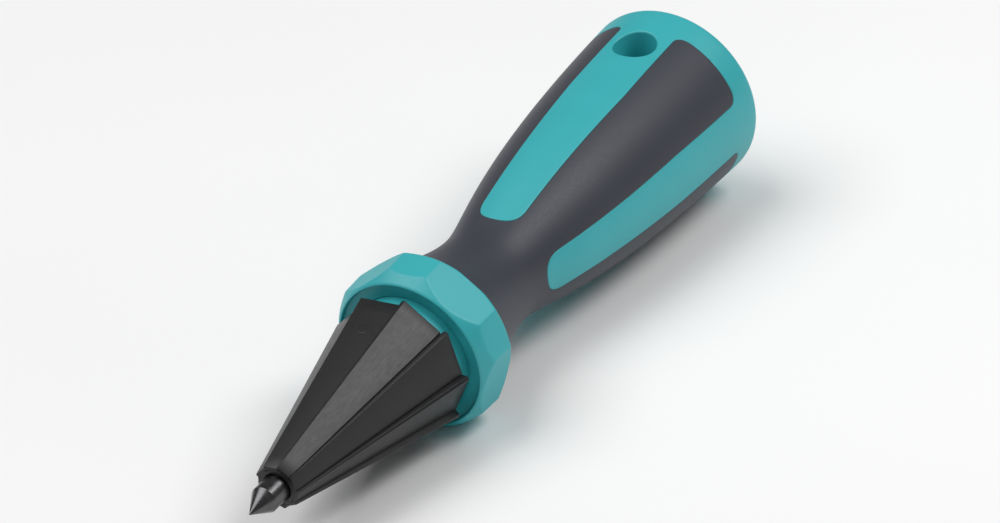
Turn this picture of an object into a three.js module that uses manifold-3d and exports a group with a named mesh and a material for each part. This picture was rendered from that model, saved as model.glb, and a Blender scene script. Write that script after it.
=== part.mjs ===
// Hand deburring tool: a nine-edged conical cutter on a pointed spindle, a collar with
// anti-roll flats, and a two-component handle. Millimetres. The tool is drawn along local X
// with the point at x = 0 and the hang hole upright, then laid down on the collar's lowest
// flat and the butt, so that +Z is up and the origin is under the middle of the tool.
import * as THREE from 'three';
import { mergeVertices } from 'three/addons/utils/BufferGeometryUtils.js';
import Module from 'manifold-3d';

const wasm = await Module();
wasm.setup();

// ---- driving dimensions, mm ----
const seam = 0.25;              // clearance between pieces that touch or are moulded together

const spindleRadius = 2.6;      // ground centre spindle
const pointLength = 4.7;        // its conical point
const tangFlats = 7.2;          // across flats of the hexagonal tang moulded into the handle
const tangSetback = 4.8;        // from the front of the grip
const tangLength = 30;

const cutterFrontX = 8.7;       // distance from the point to the cutter
const cutterFrontRadius = 4.45;
const cutterLength = 40.8;
const cutterBaseRadius = 14.1;
const toothCount = 9;
const toothPhase = 9.5;         // degrees from the top of the tool to a cutting edge
const landSweep = 2.6;          // degrees, narrow land in front of each cutting edge
const grooveSweep = 1.2;        // degrees, groove at the foot of each step
const landDrop = 0.022;         // share of the local radius that the land falls
const panelDrop = 0.095;        // share of the local radius that a panel falls to its foot
const grooveDrop = 0.125;       // share of the local radius at the bottom of the groove

const frontRingWall = 0.65;     // retaining ring round the spindle at the cutter's nose
const frontRingDepth = 1.6;
const frontRingProud = 0.12;

const drivePinRadius = 1.1;
const drivePinSetback = 7;      // from the cutter's base
const drivePinSink = 0.15;      // below the panel that it is ground flush with
const drivePinBite = 1.2;       // how far it enters the spindle

const washerRadius = 9.2;         // thrust washer in a pocket of the seat
const washerThickness = 1.0;

const collarLipLead = 2.2;      // the lip stands behind the cutter's base by this much
const collarLength = 9.2;
const collarCornerRadius = 16.9;
const collarFacetPairs = 5;     // wide and narrow flats take turns round the collar
const narrowFlatSweep = 26.3;   // degrees between the corners of a narrow flat
const lipRadius = 14.95;
const recessRadius = 14.55;
const recessDepth = 0.9;
const frontChamferAngle = 32;   // degrees from the axis
const rearChamferAngle = 45;
const spigotRadius = 11.8;      // the core runs through the collar and is the cutter's seat
const keyWidth = 3;
const keyHeight = 1.3;
const keyCover = 1.4;           // collar wall left in front of the key

const flareRadius = 14.35;      // grip where it meets the collar
const flarePower = 1.8;
const flareLength = 17;         // from the collar to the waist
const waistRadius = 10.15;
const sideLength = 70.8;        // from the waist to the widest section, at the butt
const buttRadius = 18.7;
const waistPull = 0.126;        // reach of the side curve's handles, as shares of its length
const buttPull = 0.754;
const domeLength = 5.1;
const gripThickness = 2.2;
const petalInset = 5;           // from the petals' ends to the widest section
const petalCornerRadius = 2.9;
const stripSetback = 4.8;         // from the waist to the strips' ends
const stripEndLength = 5;       // of a strip's rounded end
const stripStartShare = 0.77;   // width behind the rounded end, as a share of the full width
const stripHalfWidth = 5.95;    // of the two strips with the hang hole
const sideStripHalfWidth = 5.3;
const stripGrowLength = 39.8;   // the strips widen over this length
const stripCount = 4;
const hangHoleInset = 11.5;     // from the hang hole to the widest section
const hangHoleRadius = 4.3;

const ringSegments = 48;        // round the handle
const collarSegments = 80;      // round the collar's chamfers and recess
const smallSegments = 24;       // round the spindle and its small rings

// ---- sizes that follow; "X" values are distances from the point along the axis ----
const cutterBaseX = cutterFrontX + cutterLength;
const frontRingRadius = spindleRadius + seam + frontRingWall;
const drivePinX = cutterBaseX - drivePinSetback;
const washerX = cutterBaseX + seam;
const spigotFrontX = cutterBaseX + seam;
const lipX = cutterBaseX + collarLipLead;
const floorX = lipX + recessDepth;
const keyFrontX = floorX + keyCover;
const collarRearX = lipX + collarLength;
const gripFrontX = collarRearX + seam;
const waistX = gripFrontX + flareLength;
const buttX = waistX + sideLength;
const petalEndX = buttX - petalInset;
const stripStartX = waistX + stripSetback;
const stripFullX = stripStartX + stripGrowLength;
const hangHoleX = buttX - hangHoleInset;
const tangFrontX = gripFrontX + tangSetback;
const spindleEndX = tangFrontX + tangLength;
const wideFlatSweep = 360 / collarFacetPairs - narrowFlatSweep;
const wideApothemShare = Math.cos(THREE.MathUtils.degToRad(wideFlatSweep / 2));
const wideApothem = collarCornerRadius * wideApothemShare;
const restSlope = (buttRadius - wideApothem) / (buttX - collarRearX);
const toothPitch = 360 / toothCount;
const toothSweep = toothPitch - landSweep - grooveSweep;
const outer = 2 * buttRadius;   // reach of the cutting bodies past the handle

const degrees = THREE.MathUtils.degToRad;
const alongX = new THREE.Matrix4().makeRotationY(Math.PI / 2);   // +Z of an extrusion to +X

// direction across the axis: 0 degrees is up, positive leans to the -Y side
function across(angle, radius) {
  return new THREE.Vector2(-Math.sin(degrees(angle)) * radius, Math.cos(degrees(angle)) * radius);
}

// ---- solids ----
function solid(geometry) {
  geometry.deleteAttribute('normal');
  geometry.deleteAttribute('uv');
  const merged = mergeVertices(geometry, 1e-4);
  return new wasm.Manifold(new wasm.Mesh({
    numProp: 3,
    vertProperties: new Float32Array(merged.attributes.position.array),
    triVerts: new Uint32Array(merged.index.array),
  }));
}

function geometryOf(body) {
  const mesh = body.getMesh();
  const geometry = new THREE.BufferGeometry();
  geometry.setAttribute('position', new THREE.BufferAttribute(mesh.vertProperties, 3));
  geometry.setIndex(new THREE.BufferAttribute(mesh.triVerts, 1));
  geometry.computeVertexNormals();
  return geometry;
}

// profile of [x, radius] points from axis to axis, turned round X
function turned(profile, segments) {
  const points = profile.map(([x, radius]) => new THREE.Vector2(radius, x));
  const geometry = new THREE.LatheGeometry(points, segments);
  geometry.rotateZ(-Math.PI / 2);
  geometry.rotateX(Math.PI / 2);
  return solid(geometry);
}

function rod(fromX, toX, radius, segments) {
  return turned([[fromX, 0], [fromX, radius], [toX, radius], [toX, 0]], segments);
}

// closed outline of [y, z] points pushed along X
function prism(outline, fromX, toX) {
  const points = outline.map(([y, z]) => new THREE.Vector2(-z, y));
  const geometry = new THREE.ExtrudeGeometry(new THREE.Shape(points), {
    depth: toX - fromX, bevelEnabled: false,
  });
  geometry.applyMatrix4(alongX);
  geometry.translate(fromX, 0, 0);
  return geometry;
}

function box(fromX, toX, width, fromZ, toZ) {
  const geometry = new THREE.BoxGeometry(toX - fromX, width, toZ - fromZ);
  geometry.translate((fromX + toX) / 2, 0, (fromZ + toZ) / 2);
  return solid(geometry);
}

// plan-view shape (x, y) standing upright from fromZ to toZ, turned round the axis by angle
function upright(shape, fromZ, toZ, angle) {
  const geometry = new THREE.ExtrudeGeometry(shape, {
    depth: toZ - fromZ, bevelEnabled: false, curveSegments: 6,
  });
  geometry.translate(0, 0, fromZ);
  geometry.rotateX(degrees(angle));
  return solid(geometry);
}

// ---- handle outline ----
function flare(x) {
  const share = (waistX - x) / (waistX - gripFrontX);
  return waistRadius + (flareRadius - waistRadius) * share ** flarePower;
}

// [x, radius] points of the handle from the collar to the end of the dome, less a depth
function handleOutline(depth) {
  const length = buttX - waistX;
  const flareSteps = 6;
  const bodySteps = 12;
  const domeSteps = 7;
  const points = [];
  for (let i = 0; i < flareSteps; i += 1) {
    const x = gripFrontX + (waistX - gripFrontX) * i / flareSteps;
    points.push([x, flare(x) - depth]);
  }
  const body = new THREE.CubicBezierCurve(
    new THREE.Vector2(waistX, waistRadius),
    new THREE.Vector2(waistX + waistPull * length, waistRadius),
    new THREE.Vector2(buttX - buttPull * length, buttRadius - restSlope * buttPull * length),
    new THREE.Vector2(buttX, buttRadius),
  );
  for (const point of body.getPoints(bodySteps)) points.push([point.x, point.y - depth]);
  for (let i = 1; i < domeSteps; i += 1) {
    const turn = Math.PI / 2 * i / domeSteps;
    points.push([buttX + domeLength * Math.sin(turn), (buttRadius - depth) * Math.cos(turn)]);
  }
  return points;
}

function handleBody(depth) {
  const points = handleOutline(depth);
  return turned([[gripFrontX, 0], ...points, [buttX + domeLength, 0]], ringSegments);
}

// every other strip has the hang hole in it and is wider than its neighbours
function halfWidthOf(strip) {
  return strip % 2 === 0 ? stripHalfWidth : sideStripHalfWidth;
}

// the hard strips reach the surface inside these plan shapes
function stripShape(strip, grow) {
  const start = stripStartX - grow;
  const near = stripStartShare * halfWidthOf(strip) + grow;
  const full = halfWidthOf(strip) + grow;
  const back = start + stripEndLength;
  const shoulder = start + 0.3 * stripEndLength;
  const end = buttX + domeLength + seam;
  const shape = new THREE.Shape();
  shape.moveTo(start, 0);
  shape.bezierCurveTo(start, -0.62 * near, shoulder, -near, back, -near);
  shape.lineTo(stripFullX, -full);
  shape.lineTo(end, -full);
  shape.lineTo(end, full);
  shape.lineTo(stripFullX, full);
  shape.lineTo(back, near);
  shape.bezierCurveTo(shoulder, near, start, 0.62 * near, start, 0);
  return shape;
}

// half the width of a petal, on the side of a strip
function petalHalfWidth(strip, grow) {
  const half = Math.PI / stripCount - Math.asin(halfWidthOf(strip) / buttRadius);
  return buttRadius * Math.sin(half) + grow;
}

// the soft petals end in these plan shapes, each between a strip and the next one
function petalShape(strip, grow) {
  const left = -petalHalfWidth(strip + 1, grow);
  const right = petalHalfWidth(strip, grow);
  const from = waistX;
  const to = petalEndX + grow;
  const corner = petalCornerRadius;
  const shape = new THREE.Shape();
  shape.moveTo(from, left);
  shape.lineTo(to - corner, left);
  shape.quadraticCurveTo(to, left, to, left + corner);
  shape.lineTo(to, right - corner);
  shape.quadraticCurveTo(to, right, to - corner, right);
  shape.lineTo(from, right);
  return shape;
}

// everywhere that the soft grip lies, grown or shrunk by the clearance
function gripZone(grow) {
  const stripFloor = 5.5;
  let zone = rod(gripFrontX - grow, stripStartX + stripEndLength, outer, ringSegments);
  for (let i = 0; i < stripCount; i += 1) {
    const angle = (i + 0.5) * 360 / stripCount;
    zone = zone.add(upright(petalShape(i, grow), 0, outer, angle));
  }
  for (let i = 0; i < stripCount; i += 1) {
    const angle = i * 360 / stripCount;
    zone = zone.subtract(upright(stripShape(i, -grow), stripFloor, 2 * outer, angle));
  }
  return zone;
}

function tang(grow) {
  const corner = (tangFlats / 2 + grow) / Math.cos(Math.PI / 6);
  const outline = [];
  for (let i = 0; i < 6; i += 1) outline.push(across(60 * i, corner).toArray());
  return solid(prism(outline, tangFrontX - grow, spindleEndX + grow));
}

function hangHole() {
  const geometry = new THREE.CylinderGeometry(hangHoleRadius, hangHoleRadius, 2 * outer, 32);
  geometry.rotateX(Math.PI / 2);
  geometry.translate(hangHoleX, 0, 0);
  return solid(geometry);
}

function collarKey(grow) {
  return box(keyFrontX - grow, collarRearX + grow, keyWidth + 2 * grow,
    spigotRadius - 1, spigotRadius + keyHeight + grow);
}

// ---- pieces ----
function pointSpindle() {
  const shaft = turned([
    [0, 0], [pointLength, spindleRadius], [spindleEndX - 1, spindleRadius], [spindleEndX - 1, 0],
  ], smallSegments);
  return shaft.add(tang(0)).subtract(drivePinHole());
}

function toothOutline() {
  const outline = [];
  for (let i = 0; i < toothCount; i += 1) {
    const edge = toothPhase + i * toothPitch;
    outline.push(across(edge, cutterBaseRadius).toArray());
    outline.push(across(edge + toothSweep, cutterBaseRadius * (1 - panelDrop)).toArray());
    const groove = edge + toothSweep + grooveSweep;
    outline.push(across(groove - 0.4 * grooveSweep, cutterBaseRadius * (1 - grooveDrop)).toArray());
    outline.push(across(groove, cutterBaseRadius * (1 - landDrop)).toArray());
  }
  return outline;
}

function taperedTeeth() {
  const geometry = prism(toothOutline(), cutterFrontX, cutterBaseX);
  const position = geometry.attributes.position;
  const frontShare = cutterFrontRadius / cutterBaseRadius;
  for (let i = 0; i < position.count; i += 1) {
    const way = (position.getX(i) - cutterFrontX) / (cutterBaseX - cutterFrontX);
    const share = frontShare + (1 - frontShare) * way;
    position.setY(i, position.getY(i) * share);
    position.setZ(i, position.getZ(i) * share);
  }
  return solid(geometry);
}

function cutterHead() {
  return taperedTeeth()
    .subtract(rod(cutterFrontX - 1, cutterBaseX + 1, spindleRadius + seam, smallSegments))
    .subtract(rod(cutterFrontX - 1, cutterFrontX + frontRingDepth + seam,
      frontRingRadius + seam, smallSegments))
    .subtract(drivePinHole());
}

function frontRing() {
  const edge = 0.3;
  const front = cutterFrontX - frontRingProud;
  const rear = cutterFrontX + frontRingDepth;
  const inner = spindleRadius + seam;
  return turned([
    [front, inner], [front, frontRingRadius - edge], [front + edge, frontRingRadius],
    [rear, frontRingRadius], [rear, inner], [front, inner],
  ], smallSegments);
}

function pinAt(fromRadius, toRadius, radius) {
  const geometry = new THREE.CylinderGeometry(radius, radius, toRadius - fromRadius, smallSegments);
  geometry.rotateX(Math.PI / 2);
  geometry.translate(drivePinX, 0, (fromRadius + toRadius) / 2);
  geometry.rotateX(degrees(toothPhase - toothPitch + toothSweep / 2));
  return solid(geometry);
}

// radius of a panel's middle at the drive pin
function panelRadius() {
  const way = (drivePinX - cutterFrontX) / (cutterBaseX - cutterFrontX);
  const edge = cutterFrontRadius + (cutterBaseRadius - cutterFrontRadius) * way;
  return edge * (1 - panelDrop / 2) * Math.cos(degrees(toothSweep / 2));
}

function drivePinHole() {
  const bottom = spindleRadius - drivePinBite - seam;
  return pinAt(bottom, cutterBaseRadius + 1, drivePinRadius + seam);
}

function drivePin() {
  const slope = (cutterBaseRadius - cutterFrontRadius) / (cutterBaseX - cutterFrontX);
  const top = panelRadius() - drivePinRadius * slope - drivePinSink;
  return pinAt(spindleRadius - drivePinBite, top, drivePinRadius);
}

function collarFlats() {
  const outline = [];
  for (let i = 0; i < collarFacetPairs; i += 1) {
    const middle = i * 360 / collarFacetPairs;
    outline.push(across(middle - narrowFlatSweep / 2, collarCornerRadius).toArray());
    outline.push(across(middle + narrowFlatSweep / 2, collarCornerRadius).toArray());
  }
  const geometry = prism(outline, lipX, collarRearX);
  const position = geometry.attributes.position;
  for (let i = 0; i < position.count; i += 1) {
    const share = 1 - (collarRearX - position.getX(i)) * restSlope / wideApothem;
    position.setY(i, position.getY(i) * share);
    position.setZ(i, position.getZ(i) * share);
  }
  return solid(geometry);
}

function collar() {
  const reach = collarCornerRadius + 2;
  const frontRun = (reach - lipRadius) / Math.tan(degrees(frontChamferAngle));
  const rearRun = (reach - wideApothem) / Math.tan(degrees(rearChamferAngle));
  const chamfers = turned([
    [lipX, 0], [lipX, lipRadius], [lipX + frontRun, reach], [collarRearX - rearRun, reach],
    [collarRearX, wideApothem], [collarRearX, 0],
  ], collarSegments);
  return collarFlats().intersect(chamfers)
    .subtract(rod(lipX - 1, floorX, recessRadius, collarSegments))
    .subtract(rod(floorX - 1, collarRearX + 1, spigotRadius + seam, ringSegments))
    .subtract(collarKey(seam));
}

function thrustWasher() {
  const rear = washerX + washerThickness;
  return rod(washerX, rear, washerRadius, ringSegments)
    .subtract(rod(washerX - 1, rear + 1, spindleRadius + seam, smallSegments));
}

function handleCore() {
  const spigot = rod(spigotFrontX, gripFrontX + 1, spigotRadius, ringSegments);
  const soft = handleBody(-2).subtract(handleBody(gripThickness + seam));
  return handleBody(0).add(spigot).add(collarKey(0))
    .subtract(soft.intersect(gripZone(seam)))
    .subtract(rod(spigotFrontX - 1, washerX + washerThickness + seam, washerRadius + seam,
      ringSegments))
    .subtract(rod(spigotFrontX - 1, spindleEndX, spindleRadius + seam, smallSegments))
    .subtract(tang(seam))
    .subtract(hangHole());
}

function gripOvermould() {
  return handleBody(0).subtract(handleBody(gripThickness)).intersect(gripZone(0));
}

// ---- materials ----
const teal = { color: 0x3fa9b0, roughness: 0.42, metalness: 0 };
const softGrey = { color: 0x474a55, roughness: 0.78, metalness: 0 };
const blackSteel = { color: 0x2b2b2d, roughness: 0.4, metalness: 0.6 };
const brightSteel = { color: 0x55565a, roughness: 0.28, metalness: 0.9 };

const pieces = [
  ['point_spindle', pointSpindle(), brightSteel],
  ['front_ring', frontRing(), brightSteel],
  ['cutter_head', cutterHead(), blackSteel],
  ['drive_pin', drivePin(), blackSteel],
  ['thrust_washer', thrustWasher(), brightSteel],
  ['collar', collar(), teal],
  ['handle_core', handleCore(), teal],
  ['grip_overmould', gripOvermould(), softGrey],
];

const tool = new THREE.Group();
for (const [name, body, look] of pieces) {
  const mesh = new THREE.Mesh(geometryOf(body), new THREE.MeshStandardMaterial(look));
  mesh.name = name;
  tool.add(mesh);
}

// laid down: the collar's lowest flat and the widest section of the butt touch z = 0
tool.rotation.y = -Math.atan(restSlope);
const deburringTool = new THREE.Group();
deburringTool.add(tool);
deburringTool.updateMatrixWorld(true);
const bounds = new THREE.Box3().setFromObject(deburringTool, true);
const middle = bounds.getCenter(new THREE.Vector3());
deburringTool.position.set(-middle.x, -middle.y, -bounds.min.z);

export default deburringTool;
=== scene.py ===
"""Looks for the deburring tool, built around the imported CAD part.

The tool is drawn in millimetres along its own axis: X from the point to the butt, Z towards
the hang hole. lay_down() then puts it where the CAD part lies. An angle round the axis is
measured from the top, towards the -Y side.
"""
import math

import bmesh
import bpy
import numpy as np
from mathutils import Matrix, Vector
from mathutils.geometry import delaunay_2d_cdt


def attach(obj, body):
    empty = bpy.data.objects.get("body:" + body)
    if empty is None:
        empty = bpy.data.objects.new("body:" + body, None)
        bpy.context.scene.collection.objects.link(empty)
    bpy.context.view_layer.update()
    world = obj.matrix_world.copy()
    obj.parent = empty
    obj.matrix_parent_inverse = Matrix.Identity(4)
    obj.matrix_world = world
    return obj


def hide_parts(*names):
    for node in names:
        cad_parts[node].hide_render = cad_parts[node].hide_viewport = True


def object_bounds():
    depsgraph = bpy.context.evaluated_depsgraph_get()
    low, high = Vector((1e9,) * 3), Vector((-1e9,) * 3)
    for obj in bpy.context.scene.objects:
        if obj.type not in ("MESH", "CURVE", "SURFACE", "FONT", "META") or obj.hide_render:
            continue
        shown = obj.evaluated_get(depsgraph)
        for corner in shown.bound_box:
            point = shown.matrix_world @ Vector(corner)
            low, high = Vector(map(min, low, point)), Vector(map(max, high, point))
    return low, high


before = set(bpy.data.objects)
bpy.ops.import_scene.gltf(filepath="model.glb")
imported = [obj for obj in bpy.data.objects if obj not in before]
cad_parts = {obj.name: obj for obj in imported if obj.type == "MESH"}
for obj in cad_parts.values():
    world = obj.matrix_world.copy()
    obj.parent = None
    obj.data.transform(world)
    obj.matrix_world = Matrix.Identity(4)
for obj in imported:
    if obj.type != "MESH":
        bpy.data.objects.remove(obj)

cad_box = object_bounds()
MM = 0.001

# ---- driving sizes, mm and degrees, as in the CAD part ----
SEAM = 0.25                 # clearance between pieces
SPINDLE_R = 2.6
POINT_LENGTH = 4.7
TANG_FLATS = 7.2
TANG_LENGTH = 30
TANG_SETBACK = 4.8
CUTTER_FRONT_X = 8.7
CUTTER_LENGTH = 40.8
CUTTER_FRONT_R = 4.45
CUTTER_BASE_R = 14.1
TEETH = 9
TOOTH_PHASE = 9.5
LAND_SWEEP = 2.6            # narrow land in front of each cutting edge
GROOVE_SWEEP = 1.2
LAND_DROP = 0.022           # drops are shares of the local radius
PANEL_DROP = 0.095
GROOVE_DROP = 0.125
RING_WALL = 0.65
RING_DEPTH = 1.6
RING_PROUD = 0.12
PIN_R = 1.1
PIN_SETBACK = 7             # from the cutter's base
LIP_LEAD = 2.2              # the collar's lip stands this far behind the cutter's base
LIP_R = 14.95
RECESS_R = 14.55
RECESS_DEPTH = 0.9
COLLAR_LENGTH = 9.2
COLLAR_CORNER_R = 16.9
FACET_PAIRS = 5             # wide and narrow flats take turns round the collar
NARROW_SWEEP = 26.3
FRONT_CHAMFER = 32
REAR_CHAMFER = 45
SPIGOT_R = 11.8
FLARE_R = 14.35
FLARE_POWER = 1.8
FLARE_LENGTH = 17
WAIST_R = 10.15
SIDE_LENGTH = 70.8
WAIST_PULL = 0.126          # reach of the side curve's handles, as shares of its length
BUTT_PULL = 0.754
BUTT_R = 18.7
DOME_LENGTH = 5.08          # 0.02 short of the CAD part's, to stay inside its box
PETAL_INSET = 5
PETAL_CORNER = 2.9
STRIP_SETBACK = 4.8
STRIP_END_LENGTH = 5
STRIP_FRONT_FULLNESS = 0.62     # how square a strip's end is, in front and at its sides
STRIP_SIDE_FULLNESS = 0.7
STRIP_START_SHARE = 0.77    # width behind the rounded end, as a share of the full width
STRIP_HALF = 5.95           # half the width of the two strips with the hang hole
SIDE_STRIP_HALF = 5.3
STRIP_GROW = 39.8           # the strips widen over this length
STRIPS = 4
HOLE_INSET = 11.5
HOLE_R = 4.3

# ---- sizes that follow; "X" values are distances from the point ----
CUTTER_BASE_X = CUTTER_FRONT_X + CUTTER_LENGTH
TOOTH_PITCH = 360 / TEETH
PANEL_SWEEP = TOOTH_PITCH - LAND_SWEEP - GROOVE_SWEEP
RING_R = SPINDLE_R + SEAM + RING_WALL
PIN_X = CUTTER_BASE_X - PIN_SETBACK
LIP_X = CUTTER_BASE_X + LIP_LEAD
COLLAR_REAR_X = LIP_X + COLLAR_LENGTH
GRIP_FRONT_X = COLLAR_REAR_X + SEAM
FLOOR_X = LIP_X + RECESS_DEPTH
WAIST_X = GRIP_FRONT_X + FLARE_LENGTH
BUTT_X = WAIST_X + SIDE_LENGTH
STRIP_X = WAIST_X + STRIP_SETBACK
PETAL_END_X = BUTT_X - PETAL_INSET
HOLE_X = BUTT_X - HOLE_INSET
WIDE_SWEEP = 360 / FACET_PAIRS - NARROW_SWEEP
WIDE_APOTHEM = COLLAR_CORNER_R * math.cos(math.radians(WIDE_SWEEP / 2))
NARROW_APOTHEM = COLLAR_CORNER_R * math.cos(math.radians(NARROW_SWEEP / 2))
REST_SLOPE = (BUTT_R - WIDE_APOTHEM) / (BUTT_X - COLLAR_REAR_X)

# ---- fine detail, mm ----
EDGE_R = 0.14               # honed edges of the cutter
FINEST_EDGE_SHARE = 0.035   # of the local radius, where that is less
CUTTER_BEVEL = 0.16         # rounding of the cutter's front and base rims
SOCKET_GAP = 0.08           # shown between the retaining ring and the cutter
SEAM_R = 0.16               # rounding on each side of the seam between the two plastics
GRIP_DEPTH = 1.9            # of the soft grip's hidden side, below the seam's rounding
MOUTH_R = 0.4               # rounding at the mouths of the hang hole
COLLAR_SOFTNESS = 0.07      # how much the collar's edges are blended
LIP_ROUND = 0.2             # rounding of the collar's front lip
COLLAR_REAR_ROUND = 0.25
COLLAR_GAP = 0.02           # shown between the collar and the handle
SEAT_GAP = 0.1              # between the cutter's base and its seat
AXIS_R = 0.0005             # stands for zero where rows of points close on the axis


# ---- placing ----
def rest_matrix():
    """Tool millimetres to the metres of the CAD frame."""
    tilt = math.atan(REST_SLOPE)
    lift = BUTT_R * math.cos(tilt) - BUTT_X * math.sin(tilt)
    shift = Matrix.Translation((cad_box[0][0], 0, lift * MM))
    return shift @ Matrix.Rotation(-tilt, 4, "Y")


REST = rest_matrix()


def lay_down(points):
    """Points in tool millimetres, placed in the CAD frame in metres."""
    placed = np.asarray(points, float) * MM
    turn = np.array(REST.to_3x3())
    return placed @ turn.T + np.array(REST.translation)


def across(angle, radius):
    """Y and Z of a point at an angle, in degrees, and a radius."""
    turn = np.radians(angle)
    return -np.sin(turn) * radius, np.cos(turn) * radius


# ---- camera, solved from the photo: place in tool millimetres, turns in degrees ----
CAMERA_AT = (-428.8, -351.62, 398.26)
CAMERA_HEADING = 34.453
CAMERA_DROP = 32.597
CAMERA_ROLL = -6.651
LENS = 144


def make_camera():
    data = bpy.data.cameras.new("camera")
    data.lens = LENS
    data.sensor_width = 36
    data.clip_end = 20
    camera = bpy.data.objects.new("camera", data)
    bpy.context.scene.collection.objects.link(camera)
    heading = Matrix.Rotation(math.radians(CAMERA_HEADING - 90), 4, "Z")
    drop = Matrix.Rotation(math.radians(90 - CAMERA_DROP), 4, "X")
    roll = Matrix.Rotation(math.radians(CAMERA_ROLL), 4, "Z")
    at = Matrix.Translation(Vector(CAMERA_AT) * MM)
    camera.matrix_world = REST @ at @ heading @ drop @ roll
    bpy.context.scene.camera = camera
    bpy.context.scene.view_settings.view_transform = "Standard"     # colours as chosen below


# ---- mesh helpers ----
def make_piece(name, points, faces, material, slot, replaced, sharp=32):
    """A closed mesh in the tool's millimetres becomes a piece that stands for CAD nodes."""
    mesh = bpy.data.meshes.new(name)
    mesh.from_pydata(lay_down(points).tolist(), [], faces)
    bm = bmesh.new()
    bm.from_mesh(mesh)
    bmesh.ops.remove_doubles(bm, verts=bm.verts, dist=2e-6)
    bmesh.ops.dissolve_degenerate(bm, edges=bm.edges, dist=1e-7)
    bmesh.ops.recalc_face_normals(bm, faces=bm.faces)
    bm.to_mesh(mesh)
    bm.free()
    mesh.shade_smooth()
    mesh.set_sharp_from_angle(angle=math.radians(sharp))
    mesh.materials.append(material)
    piece = bpy.data.objects.new(name, mesh)
    bpy.context.scene.collection.objects.link(piece)
    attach(piece, "root")
    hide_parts(replaced)


def loft(rows, closed_ends=True):
    """Rows of equal length, each a closed loop of points, joined in order."""
    count = len(rows[0])
    points = [tuple(p) for row in rows for p in row]
    faces = []
    for i in range(len(rows) - 1):
        for j in range(count):
            k = (j + 1) % count
            faces.append((i * count + j, i * count + k, (i + 1) * count + k, (i + 1) * count + j))
    if closed_ends:
        for start in (0, (len(rows) - 1) * count):
            centre = len(points)
            loop = rows[start // count]
            points.append(tuple(np.mean(np.asarray(loop), axis=0)))
            faces += [(centre, start + j, start + (j + 1) % count) for j in range(count)]
    return points, faces


def circle_row(x, radius, segments):
    """A circle of points round the axis."""
    y, z = across(np.arange(segments) * 360 / segments, radius)
    return np.column_stack([np.full(segments, x), y, z])


def rounded(corners, radius, closed=True):
    """A polygon with each corner replaced by an arc; returns its points."""
    steps = 4
    corners = [np.asarray(c, float) for c in corners]
    count = len(corners)
    out = []
    for i, corner in enumerate(corners):
        if not closed and i in (0, count - 1):
            out.append(corner)
            continue
        before = corners[i - 1] - corner
        after = corners[(i + 1) % count] - corner
        to_before = before / np.linalg.norm(before)
        to_after = after / np.linalg.norm(after)
        half = math.acos(np.clip(to_before @ to_after, -1, 1)) / 2
        reach = min(radius / math.tan(half), 0.45 * np.linalg.norm(before),
                    0.45 * np.linalg.norm(after))
        bow = reach * math.tan(half)
        middle = (to_before + to_after) / np.linalg.norm(to_before + to_after)
        centre = corner + middle * math.hypot(reach, bow)
        start = corner + to_before * reach - centre
        end = corner + to_after * reach - centre
        turn = math.pi - 2 * half
        for k in range(steps + 1):
            share = k / steps
            arc = (math.sin((1 - share) * turn) * start + math.sin(share * turn) * end)
            out.append(centre + arc / math.sin(turn))
    return np.array(out)


def soft_least(values, softness):
    """Smooth minimum along the first axis: edges come out slightly rounded."""
    values = np.asarray(values)
    least = values.min(axis=0)
    return least - softness * np.log(np.exp(-(values - least) / softness).sum(axis=0))


# ---- materials: noise scales are per metre, bump distances in metres ----
NOISE_LOW, NOISE_HIGH = 0.3, 0.7    # most of a noise texture's values lie between these


def link(tree, source, target):
    tree.links.new(source, target)


def new_material(name):
    material = bpy.data.materials.new(name)
    material.use_nodes = True
    tree = material.node_tree
    shader = tree.nodes["Principled BSDF"]
    place = tree.nodes.new("ShaderNodeTexCoord")
    return material, tree, shader, place.outputs["Object"]


def noise(tree, where, scale, detail, stretch=None):
    texture = tree.nodes.new("ShaderNodeTexNoise")
    texture.inputs["Scale"].default_value = scale
    texture.inputs["Detail"].default_value = detail
    if stretch:
        mapping = tree.nodes.new("ShaderNodeMapping")
        mapping.inputs["Scale"].default_value = stretch
        link(tree, where, mapping.inputs["Vector"])
        where = mapping.outputs["Vector"]
    link(tree, where, texture.inputs["Vector"])
    return texture.outputs["Fac"]


def ramp(tree, factor, low, high):
    """A colour that goes from low to high with a noise texture's value."""
    node = tree.nodes.new("ShaderNodeValToRGB")
    elements = node.color_ramp.elements
    for element, position, colour in zip(elements, (NOISE_LOW, NOISE_HIGH), (low, high)):
        element.position = position
        element.color = (*colour, 1)
    link(tree, factor, node.inputs["Fac"])
    return node.outputs["Color"]


def spread(tree, factor, low, high):
    """A number that goes from low to high with a noise texture's value."""
    node = tree.nodes.new("ShaderNodeMapRange")
    node.inputs["From Min"].default_value = NOISE_LOW
    node.inputs["From Max"].default_value = NOISE_HIGH
    node.inputs["To Min"].default_value = low
    node.inputs["To Max"].default_value = high
    link(tree, factor, node.inputs["Value"])
    return node.outputs["Result"]


def bump(tree, shader, height, strength, distance):
    node = tree.nodes.new("ShaderNodeBump")
    node.inputs["Strength"].default_value = strength
    node.inputs["Distance"].default_value = distance
    link(tree, height, node.inputs["Height"])
    link(tree, node.outputs["Normal"], shader.inputs["Normal"])


def teal_plastic():
    material, tree, shader, where = new_material("teal_plastic")
    tone = noise(tree, where, 90, 2)
    colour = ramp(tree, tone, (0.030, 0.40, 0.435), (0.034, 0.42, 0.455))
    link(tree, colour, shader.inputs["Base Color"])
    grain = noise(tree, where, 2600, 4)
    link(tree, spread(tree, grain, 0.4, 0.5), shader.inputs["Roughness"])
    bump(tree, shader, grain, 0.12, 0.00004)
    shader.inputs["Specular IOR Level"].default_value = 0.5
    return material


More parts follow.
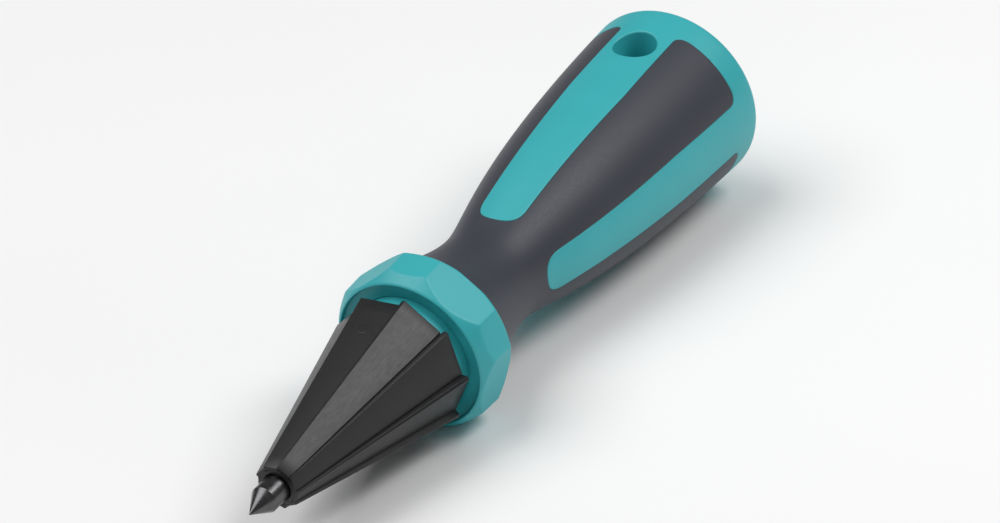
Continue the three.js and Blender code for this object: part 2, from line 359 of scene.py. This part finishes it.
def grey_rubber():
    material, tree, shader, where = new_material("grey_rubber")
    tone = noise(tree, where, 70, 3)
    colour = ramp(tree, tone, (0.028, 0.032, 0.046), (0.031, 0.035, 0.050))
    link(tree, colour, shader.inputs["Base Color"])
    grain = noise(tree, where, 3200, 5)
    link(tree, spread(tree, grain, 0.46, 0.56), shader.inputs["Roughness"])
    bump(tree, shader, grain, 0.25, 0.00005)
    shader.inputs["Sheen Weight"].default_value = 0.05
    shader.inputs["Specular IOR Level"].default_value = 0.55
    return material


def black_steel():
    material, tree, shader, where = new_material("black_steel")
    cloud = noise(tree, where, 160, 4)
    colour = ramp(tree, cloud, (0.011, 0.011, 0.012), (0.014, 0.014, 0.015))
    link(tree, colour, shader.inputs["Base Color"])
    lines = noise(tree, where, 2400, 3, stretch=(0.1, 1, 1))
    link(tree, spread(tree, lines, 0.34, 0.4), shader.inputs["Roughness"])
    bump(tree, shader, lines, 0.06, 0.00001)
    shader.inputs["Specular IOR Level"].default_value = 0.38
    return material


def bright_steel():
    material, tree, shader, where = new_material("bright_steel")
    cloud = noise(tree, where, 300, 3)
    colour = ramp(tree, cloud, (0.09, 0.09, 0.093), (0.12, 0.12, 0.123))
    link(tree, colour, shader.inputs["Base Color"])
    rings = noise(tree, where, 1500, 2, stretch=(3, 0.3, 0.3))
    link(tree, spread(tree, rings, 0.22, 0.34), shader.inputs["Roughness"])
    bump(tree, shader, rings, 0.1, 0.00002)
    shader.inputs["Metallic"].default_value = 1.0
    return material


# ---- steel pieces ----
def make_spindle(material):
    """The ground point, the shaft and the hexagonal tang in the handle."""
    segments = 120
    tip = 0.12
    blunt = 0.03            # added to the cone's radius just behind the tip
    tang_x = GRIP_FRONT_X + TANG_SETBACK
    end_x = tang_x + TANG_LENGTH
    slope = SPINDLE_R / POINT_LENGTH
    profile = [(0, 2 * AXIS_R), (tip, tip * slope + blunt), (POINT_LENGTH, SPINDLE_R),
               (tang_x, SPINDLE_R)]
    rows = [circle_row(x, r, segments) for x, r in rounded(profile, 0.15, closed=False)]
    turn = np.arange(segments) * 360 / segments
    hexagon = TANG_FLATS / 2 / np.cos(np.radians((turn % 60) - 30))
    y, z = across(turn, hexagon)
    for x in (tang_x, end_x):
        rows.append(np.column_stack([np.full(segments, x), y, z]))
    make_piece("spindle", *loft(rows), material, "bright_steel", "point_spindle")


def make_front_ring(material):
    """The small ring round the spindle in the cutter's front face."""
    front = CUTTER_FRONT_X - RING_PROUD
    rear = CUTTER_FRONT_X + RING_DEPTH
    shaft_gap = 0.05
    inner = SPINDLE_R + shaft_gap
    edge = 0.22
    section = rounded([(front, inner), (front, RING_R), (rear, RING_R), (rear, inner)], edge)
    section = np.vstack([section, section[:1]])
    rows = [circle_row(x, r, 120) for x, r in section]
    points, faces = loft(rows, closed_ends=False)
    make_piece("retaining_ring", points, faces, material, "black_steel", "front_ring")


def tooth_corners(radius):
    """The cutter's outline at one cross-section, as points across the axis."""
    corners = []
    for i in range(TEETH):
        edge = TOOTH_PHASE + i * TOOTH_PITCH
        foot = edge + PANEL_SWEEP
        groove = foot + GROOVE_SWEEP
        corners.append(across(edge, radius))
        corners.append(across(foot, radius * (1 - PANEL_DROP)))
        corners.append(across(groove - 0.4 * GROOVE_SWEEP, radius * (1 - GROOVE_DROP)))
        corners.append(across(groove, radius * (1 - LAND_DROP)))
    return corners


def cutter_radius(x):
    """The radius of the cutting edges."""
    share = (x - CUTTER_FRONT_X) / (CUTTER_BASE_X - CUTTER_FRONT_X)
    return CUTTER_FRONT_R + (CUTTER_BASE_R - CUTTER_FRONT_R) * share


def tooth_row(x, shrink=0.0):
    """The cutter's outline at one place, with honed edges that are finer at the nose."""
    radius = cutter_radius(x) - shrink
    outline = rounded(tooth_corners(radius), min(EDGE_R, FINEST_EDGE_SHARE * radius))
    return np.column_stack([np.full(len(outline), x), outline])


def hole_row(x, radius, like):
    """A circle whose points stand at the same angles as those of another row."""
    angle = np.arctan2(like[:, 2], like[:, 1])
    return np.column_stack([np.full(len(like), x), radius * np.cos(angle), radius * np.sin(angle)])


def make_cutter(material):
    """The toothed cone, from the floor of the ring's socket to the middle of the base."""
    nose = CUTTER_FRONT_X
    base = CUTTER_BASE_X
    socket = RING_R + SOCKET_GAP
    bevel = CUTTER_BEVEL
    stations = 16
    rows = []
    front = tooth_row(nose, bevel)
    rows.append(hole_row(nose + RING_DEPTH, socket, front))
    rows.append(hole_row(nose, socket, front))
    rows.append(front)
    for k in (1, 2):
        turn = math.radians(45 * k)
        rows.append(tooth_row(nose + bevel * (1 - math.cos(turn)), bevel * (1 - math.sin(turn))))
    for i in range(1, stations):
        rows.append(tooth_row(nose + bevel + (base - nose - 2 * bevel) * i / stations))
    for k in (2, 1, 0):
        turn = math.radians(45 * k)
        rows.append(tooth_row(base - bevel * (1 - math.cos(turn)), bevel * (1 - math.sin(turn))))
    make_piece("cutter", *loft(rows), material, "black_steel", "cutter_head", sharp=25)


def make_drive_pin(material):
    """The pin's end, ground almost flush with the panel it comes out of."""
    edge_angle = TOOTH_PHASE - TOOTH_PITCH
    radius = cutter_radius(PIN_X)
    edge = np.array(across(edge_angle, radius))
    foot = np.array(across(edge_angle + PANEL_SWEEP, radius * (1 - PANEL_DROP)))
    along = np.array([0, *(foot - edge)])
    along /= np.linalg.norm(along)
    panel_middle = (edge + foot) / 2
    slope = (CUTTER_BASE_R - CUTTER_FRONT_R) / (CUTTER_BASE_X - CUTTER_FRONT_X)
    ahead = np.array([1, *(panel_middle * slope / radius)])
    ahead /= np.linalg.norm(ahead)
    out = np.cross(ahead, along)
    out /= np.linalg.norm(out)
    if out[2] < 0:
        out = -out
    middle = np.array([PIN_X, *panel_middle])
    segments = 64
    turn = np.radians(np.arange(segments) * 360 / segments)[:, None]
    buried, proud = 2.0, 0.02
    # reach from the pin's axis and height above the panel, from its buried end to its face
    profile = [(PIN_R, -buried), (PIN_R, -0.03), (PIN_R - 0.02, 0.0), (PIN_R - 0.06, 0.015),
               (PIN_R - 0.1, proud), (PIN_R - 0.5, proud)]
    rows = [middle + out * height + reach * (np.cos(turn) * along + np.sin(turn) * ahead)
            for reach, height in profile]
    make_piece("drive_pin_end", *loft(rows), material, "black_steel", "drive_pin")


# ---- collar ----
def collar_radius(angle, x):
    """The collar's outer radius: its flats, cut back by the two chamfers."""
    share = 1 - (COLLAR_REAR_X - x) * REST_SLOPE / WIDE_APOTHEM
    pitch = 360 / FACET_PAIRS
    reaches = []
    for i in range(FACET_PAIRS):
        narrow = i * pitch
        for centre, apothem in ((narrow, NARROW_APOTHEM), (narrow + pitch / 2, WIDE_APOTHEM)):
            lean = (angle - centre + 180) % 360 - 180
            facing = np.maximum(np.cos(np.radians(lean)), 0.2)  # a flat facing away never counts
            reaches.append(apothem * share / facing)
    front = LIP_R + (x - LIP_X) * math.tan(math.radians(FRONT_CHAMFER))
    rear = WIDE_APOTHEM + (COLLAR_REAR_X - x) * math.tan(math.radians(REAR_CHAMFER))
    reaches += [np.full_like(angle, front), np.full_like(angle, rear)]
    return soft_least(reaches, COLLAR_SOFTNESS)


def make_collar(material):
    """Rows of points from the bore, over the recess, the lip and the flats, to the rear."""
    segments = 720
    angle = np.arange(segments) * 360 / segments
    bore = SPIGOT_R + COLLAR_GAP
    recess_fillet = 0.18
    lip_start_x = LIP_X + LIP_ROUND
    rear_start_x = COLLAR_REAR_X - COLLAR_REAR_ROUND
    front_zone, rear_zone = 3.2, 2.2    # chamfered stretches, drawn more finely
    bore_and_recess = rounded(
        [(COLLAR_REAR_X, bore), (FLOOR_X, bore), (FLOOR_X, RECESS_R), (lip_start_x, RECESS_R)],
        recess_fillet, closed=False)
    section = [np.full(segments, r) for _, r in bore_and_recess]
    stations = [x for x, _ in bore_and_recess]
    for k in range(1, 6):
        turn = math.pi * k / 6
        stations.append(lip_start_x - LIP_ROUND * math.sin(turn))
        section.append(np.full(segments, RECESS_R + LIP_ROUND - LIP_ROUND * math.cos(turn)))
    outer_x = np.concatenate([
        np.linspace(lip_start_x, LIP_X + front_zone, 26),
        np.linspace(LIP_X + front_zone + 0.2, COLLAR_REAR_X - rear_zone - 0.2, 8),
        np.linspace(COLLAR_REAR_X - rear_zone, rear_start_x, 18),
    ])
    for x in outer_x:
        stations.append(x)
        section.append(collar_radius(angle, x))
    last = collar_radius(angle, rear_start_x)
    for k in (1, 2, 3):
        turn = math.radians(30 * k)
        stations.append(rear_start_x + COLLAR_REAR_ROUND * math.sin(turn))
        section.append(last - COLLAR_REAR_ROUND * (1 - math.cos(turn)) - 0.1 * k / 3)
    stations.append(COLLAR_REAR_X)
    section.append(np.full(segments, bore))
    rows = []
    for x, radius in zip(stations, section):
        y, z = across(angle, radius)
        rows.append(np.column_stack([np.full(segments, x), y, z]))
    points, faces = loft(rows, closed_ends=False)
    make_piece("anti_roll_collar", points, faces, material, "teal_plastic", "collar", sharp=40)


# ---- handle ----
COLUMN = 2.5                # degrees between the handle's columns of faces
SEAM_SPACING = 0.55         # mm between the seam's points
PATCH_START_X = STRIP_X - 2
PATCH_END_X = BUTT_X - 2
PATCH_ROWS = 56
CLEAR_OF_SEAM = 0.45        # mm that the plain grid keeps from the seam and the hole
CLEAR_OF_HOLE = 0.6
SEAM_GUARD = 0.08           # a last row of points past a rounding holds the surface there
MOUTH_GUARD = 0.15
HOLE_POINTS = 96
HOLE_AT = np.array([HOLE_X, 0.0])


def side_curve():
    """Dense points of the handle's side, from the waist to its widest section."""
    t = np.linspace(0, 1, 600)
    x = [WAIST_X, WAIST_X + WAIST_PULL * SIDE_LENGTH, BUTT_X - BUTT_PULL * SIDE_LENGTH, BUTT_X]
    r = [WAIST_R, WAIST_R, BUTT_R - REST_SLOPE * BUTT_PULL * SIDE_LENGTH, BUTT_R]
    weights = [(1 - t) ** 3, 3 * t * (1 - t) ** 2, 3 * t ** 2 * (1 - t), t ** 3]
    return sum(w * v for w, v in zip(weights, x)), sum(w * v for w, v in zip(weights, r))


SIDE = side_curve()


def handle_radius(x):
    """The handle's radius: flare, side curve or dome, whichever holds at x."""
    x = np.asarray(x, float)
    share = np.clip((WAIST_X - x) / FLARE_LENGTH, 0, None)
    flare = WAIST_R + (FLARE_R - WAIST_R) * share ** FLARE_POWER
    side = np.interp(x, *SIDE)
    past = np.clip((x - BUTT_X) / DOME_LENGTH, 0, 1)
    dome = BUTT_R * np.sqrt(1 - past ** 2)
    return np.where(x < WAIST_X, flare, np.where(x > BUTT_X, dome, side))


def petal_corner(petal_half):
    """The rounded corner of a petal's plan shape, from its side to its end."""
    wide = BUTT_R * math.sin(petal_half)
    start = np.array([PETAL_END_X - PETAL_CORNER, wide])
    control = np.array([PETAL_END_X, wide])
    end = np.array([PETAL_END_X, wide - PETAL_CORNER])
    t = np.linspace(0, 1, 13)[:, None]
    return (1 - t) ** 2 * start + 2 * t * (1 - t) * control + t ** 2 * end


def strip_half_width(x, full):
    """Half a strip's width behind its rounded end, from its full half width."""
    share = np.clip((x - STRIP_X - STRIP_END_LENGTH) / (STRIP_GROW - STRIP_END_LENGTH), 0, 1)
    return full * (STRIP_START_SHARE + (1 - STRIP_START_SHARE) * share)


def strip_end(near):
    """Half of a strip's rounded end, from its middle to its side."""
    t = np.linspace(0, 1, 33)[:, None]
    start, back = np.array([STRIP_X, 0]), np.array([STRIP_X + STRIP_END_LENGTH, near])
    early = np.array([STRIP_X, STRIP_FRONT_FULLNESS * near])
    late = np.array([STRIP_X + (1 - STRIP_SIDE_FULLNESS) * STRIP_END_LENGTH, near])
    return ((1 - t) ** 3 * start + 3 * t * (1 - t) ** 2 * early
            + 3 * t ** 2 * (1 - t) * late + t ** 3 * back)


def seam_half(full):
    """The seam from a strip's middle to a petal's middle, as x and angle in radians."""
    quarter = math.pi / STRIPS
    end = strip_end(full * STRIP_START_SHARE)
    corner = petal_corner(quarter - math.asin(full / BUTT_R))
    corner_angle = quarter - np.arcsin(corner[:, 1] / handle_radius(corner[:, 0]))
    strip_angle = np.arcsin(strip_half_width(corner[:, 0], full) / handle_radius(corner[:, 0]))
    keep = corner_angle > strip_angle
    corner_x = corner[keep, 0]
    side_x = np.linspace(STRIP_X + STRIP_END_LENGTH, corner_x[0], 90)[1:-1]
    side = np.column_stack([side_x, strip_half_width(side_x, full)])
    plan = np.vstack([end, side])
    along_strip = np.column_stack([plan[:, 0], np.arcsin(plan[:, 1] / handle_radius(plan[:, 0]))])
    round_corner = np.column_stack([corner_x, corner_angle[keep]])
    end_angle = np.linspace(round_corner[-1, 1], quarter, 8)[1:]
    petal_end = np.column_stack([np.full(len(end_angle), PETAL_END_X), end_angle])
    return np.vstack([along_strip, round_corner, petal_end])


def resample(line, spacing):
    """The same line with points at even spacing."""
    reach = np.concatenate([[0], np.cumsum(np.linalg.norm(np.diff(line, axis=0), axis=1))])
    wanted = np.linspace(0, reach[-1], max(2, round(reach[-1] / spacing)) + 1)
    return np.column_stack([np.interp(wanted, reach, line[:, i]) for i in range(2)])


def as_girth(points):
    """Points as x and angle become x and girth, the way round the handle in mm."""
    return np.column_stack([points[:, 0], points[:, 1] * handle_radius(points[:, 0])])


def as_plan(points):
    """Points as x and angle become x and y as seen from above the strip."""
    return np.column_stack([points[:, 0], np.sin(points[:, 1]) * handle_radius(points[:, 0])])


def seam_line(full):
    """The seam over one strip, from petal middle to petal middle, as x and girth, mm."""
    girth = resample(as_girth(seam_half(full)), SEAM_SPACING)
    mirrored = girth[::-1] * [1, -1]
    return np.vstack([mirrored[:-1], girth])


def beside(line, distance):
    """The line moved sideways, towards the strip where the distance is positive."""
    step = np.gradient(line, axis=0)
    step /= np.linalg.norm(step, axis=1)[:, None]
    side = np.column_stack([-step[:, 1], step[:, 0]])
    side[0] = side[-1] = (1, 0)
    moved = line + distance * side
    moved[0, 1], moved[-1, 1] = line[0, 1], line[-1, 1]
    return moved


def distance_to(points, line):
    """Distance of each point to a polyline, both as x and girth."""
    best = np.full(len(points), 1e9)
    for a, b in zip(line[:-1], line[1:]):
        step = b - a
        share = np.clip(((points - a) @ step) / (step @ step), 0, 1)
        best = np.minimum(best, np.linalg.norm(points - a - share[:, None] * step, axis=1))
    return best


def inside(points, outline):
    """Which points lie inside a closed outline."""
    hit = np.zeros(len(points), bool)
    x, y = points[:, 0], points[:, 1]
    for (ax, ay), (bx, by) in zip(outline, np.roll(outline, -1, axis=0)):
        crosses = (ay > y) != (by > y)
        with np.errstate(divide="ignore", invalid="ignore"):
            at = (bx - ax) * (y - ay) / (by - ay) + ax
        hit ^= crosses & (x < at)
    return hit


def fillet_steps(radius):
    """Distances from an edge to even steps round the quarter circle beside it."""
    return [radius * (1 - math.cos(math.radians(a))) for a in (0, 30, 60, 90)]


def depth_beside(distance, radius):
    """Depth below the surface at a distance from an edge with that rounding."""
    short = np.clip(radius - distance, 0, radius)
    return radius - np.sqrt(radius ** 2 - short ** 2)


def patch_grid(line, with_hole):
    """Plain grid points of a patch, as x and angle, clear of its seam and hole."""
    rows = np.linspace(PATCH_START_X, PATCH_END_X, PATCH_ROWS)
    columns = np.radians(np.arange(-90 / COLUMN / 2, 90 / COLUMN / 2 + 1) * COLUMN)
    grid = np.array([(x, a) for x in rows for a in columns])
    edge_row = (grid[:, 0] == rows[0]) | (grid[:, 0] == rows[-1])
    clear = distance_to(as_girth(grid), line) > CLEAR_OF_SEAM
    if with_hole:
        from_hole = np.linalg.norm(as_plan(grid) - HOLE_AT, axis=1)
        clear &= from_hole > HOLE_R + MOUTH_R + CLEAR_OF_HOLE
    return [tuple(p) for p in grid[clear | edge_row]]


def add_seam(line, points, edges):
    """Lines beside the seam, which carry its rounding, join the points and edges."""
    quarter = math.pi / STRIPS
    steps = fillet_steps(SEAM_R) + [SEAM_R + SEAM_GUARD]
    for distance in sorted({*steps, *(-d for d in steps)}):
        moved = beside(line, distance)
        start = len(points)
        angle = moved[:, 1] / handle_radius(moved[:, 0])
        angle[0], angle[-1] = -quarter, quarter
        points += list(zip(moved[:, 0], angle))
        edges += [(start + i, start + i + 1) for i in range(len(moved) - 1)]


def add_hole(points, edges):
    """Rings round the hang hole's mouth join the points and edges; returns the first ring."""
    turn = np.arange(HOLE_POINTS) * 2 * math.pi / HOLE_POINTS
    first = len(points)
    for distance in fillet_steps(MOUTH_R) + [MOUTH_R + MOUTH_GUARD]:
        x = HOLE_X + (HOLE_R + distance) * np.cos(turn)
        y = (HOLE_R + distance) * np.sin(turn)
        start = len(points)
        points += list(zip(x, np.arcsin(y / handle_radius(x))))
        edges += [(start + i, start + (i + 1) % HOLE_POINTS) for i in range(HOLE_POINTS)]
    return list(range(first, first + HOLE_POINTS))


def triangulated(points, edges):
    """Triangles over points given as x and angle; also where each given point ended up."""
    scale = np.array([1, BUTT_R])
    flat = [Vector(p) for p in np.array(points) * scale]
    placed, _, faces, origins, _, _ = delaunay_2d_cdt(flat, edges, [], 0, 1e-6, True)
    where = {old: new for new, olds in enumerate(origins) for old in olds}
    return np.array([tuple(v) for v in placed]) / scale, np.array(faces), where


def make_patch(with_hole):
    """A quarter of the handle round one strip, triangulated along the seam and the hole.

    Returns points as x and angle, triangles, which of them are soft grip, each point's
    distance to the seam, its depth below the surface, and the hole's edge in order.
    """
    line = seam_line(STRIP_HALF if with_hole else SIDE_STRIP_HALF)
    points = patch_grid(line, with_hole)
    edges = []
    add_seam(line, points, edges)
    ring = add_hole(points, edges) if with_hole else []
    placed, faces, where = triangulated(points, edges)
    hole_loop = [where[i] for i in ring]
    centres = placed[faces].mean(axis=1)
    # the strip's outline is closed behind the butt, well clear of the patch
    strip = np.vstack([line, [(BUTT_X + 10, line[-1, 1] + 9), (BUTT_X + 10, line[0, 1] - 9)]])
    soft = ~inside(as_girth(centres), strip)
    to_seam = distance_to(as_girth(placed), line)
    depth = depth_beside(to_seam, SEAM_R)
    if with_hole:
        depth += depth_beside(np.linalg.norm(as_plan(placed) - HOLE_AT, axis=1) - HOLE_R, MOUTH_R)
        from_hole = np.linalg.norm(as_plan(centres) - HOLE_AT, axis=1)
        keep = from_hole > HOLE_R * math.cos(math.pi / HOLE_POINTS)
        faces, soft = faces[keep], soft[keep]
    return placed, faces, soft, to_seam, depth, hole_loop


def surface_points(x, angle, depth):
    """Points of the handle at a depth below its surface, the angle in radians."""
    radius = handle_radius(x) - depth
    return np.column_stack([x, -np.sin(angle) * radius, np.cos(angle) * radius])


def buried_depth(to_seam):
    """How deep the soft grip reaches, at a distance from the seam."""
    return SEAM_R + np.minimum(1.6 * to_seam, GRIP_DEPTH)


class Shell:
    """Points and faces gathered piece by piece."""

    def __init__(self):
        self.points = []
        self.faces = []

    def add(self, points, faces):
        start = len(self.points)
        self.points += [tuple(p) for p in points]
        self.faces += [tuple(int(i) + start for i in face) for face in faces]
        return start


def ring_rows(shell, profile):
    """Rows of quads round the axis, at the handle's columns."""
    turn = np.arange(0, 360, COLUMN)
    rows = []
    for x, radius in profile:
        y, z = across(turn, radius)
        rows.append(np.column_stack([np.full(len(turn), x), y, z]))
    shell.add(*loft(rows, closed_ends=False))


def add_neck(core, grip):
    """The grip in front of the strips, and under it the core with the cutter's seat."""
    front_x = COLLAR_REAR_X + COLLAR_GAP
    seat_x = CUTTER_BASE_X + SEAT_GAP
    deep = SEAM_R + GRIP_DEPTH
    neck_x = np.linspace(GRIP_FRONT_X, PATCH_START_X, 26)
    neck = [(x, float(handle_radius(x))) for x in neck_x]
    buried = [(x, r - float(buried_depth(STRIP_X - x))) for x, r in neck]
    edge_round = 0.25
    edge_back, edge_down = 0.09, 0.08       # a point on that rounding
    front_edge = [(front_x, FLARE_R - deep), (front_x, FLARE_R - edge_round),
                  (COLLAR_REAR_X + edge_back, FLARE_R - edge_down)]
    ring_rows(grip, [*front_edge, *neck])
    ring_rows(grip, [front_edge[0], *buried])
    shaft_gap = 0.03
    seat_fillet = 0.3
    seat = rounded([(seat_x, SPINDLE_R + shaft_gap), (seat_x, SPIGOT_R), (front_x, SPIGOT_R),
                    front_edge[0]], seat_fillet, closed=False)
    ring_rows(core, [(seat_x, AXIS_R), *seat, *buried])


def add_butt(core):
    """The core behind the petals, and its dome."""
    dome_x = BUTT_X + DOME_LENGTH * np.sin(np.radians(np.arange(4, 90, 4)))
    tail_x = [PATCH_END_X, PATCH_END_X + 1, BUTT_X, *dome_x]
    tail = [(x, float(handle_radius(x))) for x in tail_x]
    ring_rows(core, [*tail, (BUTT_X + DOME_LENGTH, AXIS_R)])


def add_quarters(core, grip):
    """The handle's four quarters; returns the two edges of the hang hole."""
    hole_edges = []
    patches = {with_hole: make_patch(with_hole) for with_hole in (True, False)}
    for i in range(STRIPS):
        placed, faces, soft, to_seam, depth, hole_loop = patches[i % 2 == 0]
        x, angle = placed[:, 0], placed[:, 1] + i * 2 * math.pi / STRIPS
        shown = surface_points(x, angle, depth)
        under = surface_points(x, angle, np.where(to_seam < 1e-4, depth, buried_depth(to_seam)))
        core_start = core.add(shown, faces[~soft])
        core.add(under, faces[soft])
        grip.add(shown, faces[soft])
        grip.add(under, faces[soft])
        if hole_loop:
            hole_edges.append([core_start + k for k in hole_loop])
    return hole_edges


def add_hole_wall(core, top, bottom):
    """Quads down the hang hole, between its edges on two opposite strips."""
    count = len(top)
    facing = [bottom[-k % count] for k in range(count)]
    core.faces += [(top[k], top[(k + 1) % count], facing[(k + 1) % count], facing[k])
                   for k in range(count)]


def make_handle(teal, grey):
    core, grip = Shell(), Shell()
    add_neck(core, grip)
    add_butt(core)
    top, bottom = add_quarters(core, grip)
    add_hole_wall(core, top, bottom)
    make_piece("handle", core.points, core.faces, teal, "teal_plastic", "handle_core", sharp=50)
    make_piece("soft_grip", grip.points, grip.faces, grey, "grey_rubber", "grip_overmould",
               sharp=60)


# ---- floor and light ----
def make_floor():
    half = 3.0
    mesh = bpy.data.meshes.new("floor")
    corners = [(-half, -half, 0), (half, -half, 0), (half, half, 0), (-half, half, 0)]
    mesh.from_pydata(corners, [], [(0, 1, 2, 3)])
    material, tree, shader, where = new_material("pale_floor")
    tone = noise(tree, where, 6, 2)
    colour = ramp(tree, tone, (0.9, 0.9, 0.9), (0.93, 0.93, 0.93))
    link(tree, colour, shader.inputs["Base Color"])
    shader.inputs["Roughness"].default_value = 0.9
    shader.inputs["Specular IOR Level"].default_value = 0.1
    mesh.materials.append(material)
    floor = bpy.data.objects.new("floor", mesh)
    bpy.context.scene.collection.objects.link(floor)


LIGHT_TARGET = Vector((0, 0, 0.02))     # metres, inside the tool


def area_light(name, direction, distance, size, power):
    data = bpy.data.lights.new(name, "AREA")
    data.shape = "RECTANGLE"
    data.size, data.size_y = size
    data.energy = power
    light = bpy.data.objects.new(name, data)
    bpy.context.scene.collection.objects.link(light)
    aim = Vector(direction).normalized()
    light.location = LIGHT_TARGET + aim * distance
    light.rotation_euler = aim.to_track_quat("Z", "Y").to_euler()


def make_lights():
    world = bpy.data.worlds.new("studio")
    world.use_nodes = True
    world.node_tree.nodes["Background"].inputs["Color"].default_value = (1, 1, 1, 1)
    world.node_tree.nodes["Background"].inputs["Strength"].default_value = 0.2
    bpy.context.scene.world = world
    area_light("key", (0.30, -0.51, 0.81), 0.9, (0.45, 0.45), 4)
    area_light("overhead", (-0.25, 0.45, 1.0), 1.2, (0.9, 0.9), 9)


# ---- put together ----
make_camera()
make_lights()
make_floor()
TEAL, GREY, BLACK, BRIGHT = teal_plastic(), grey_rubber(), black_steel(), bright_steel()
make_spindle(BRIGHT)
make_front_ring(BLACK)
make_cutter(BLACK)
make_drive_pin(BLACK)
make_collar(TEAL)
make_handle(TEAL, GREY)
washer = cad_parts["thrust_washer"]
washer.data.materials.clear()
washer.data.materials.append(BRIGHT)
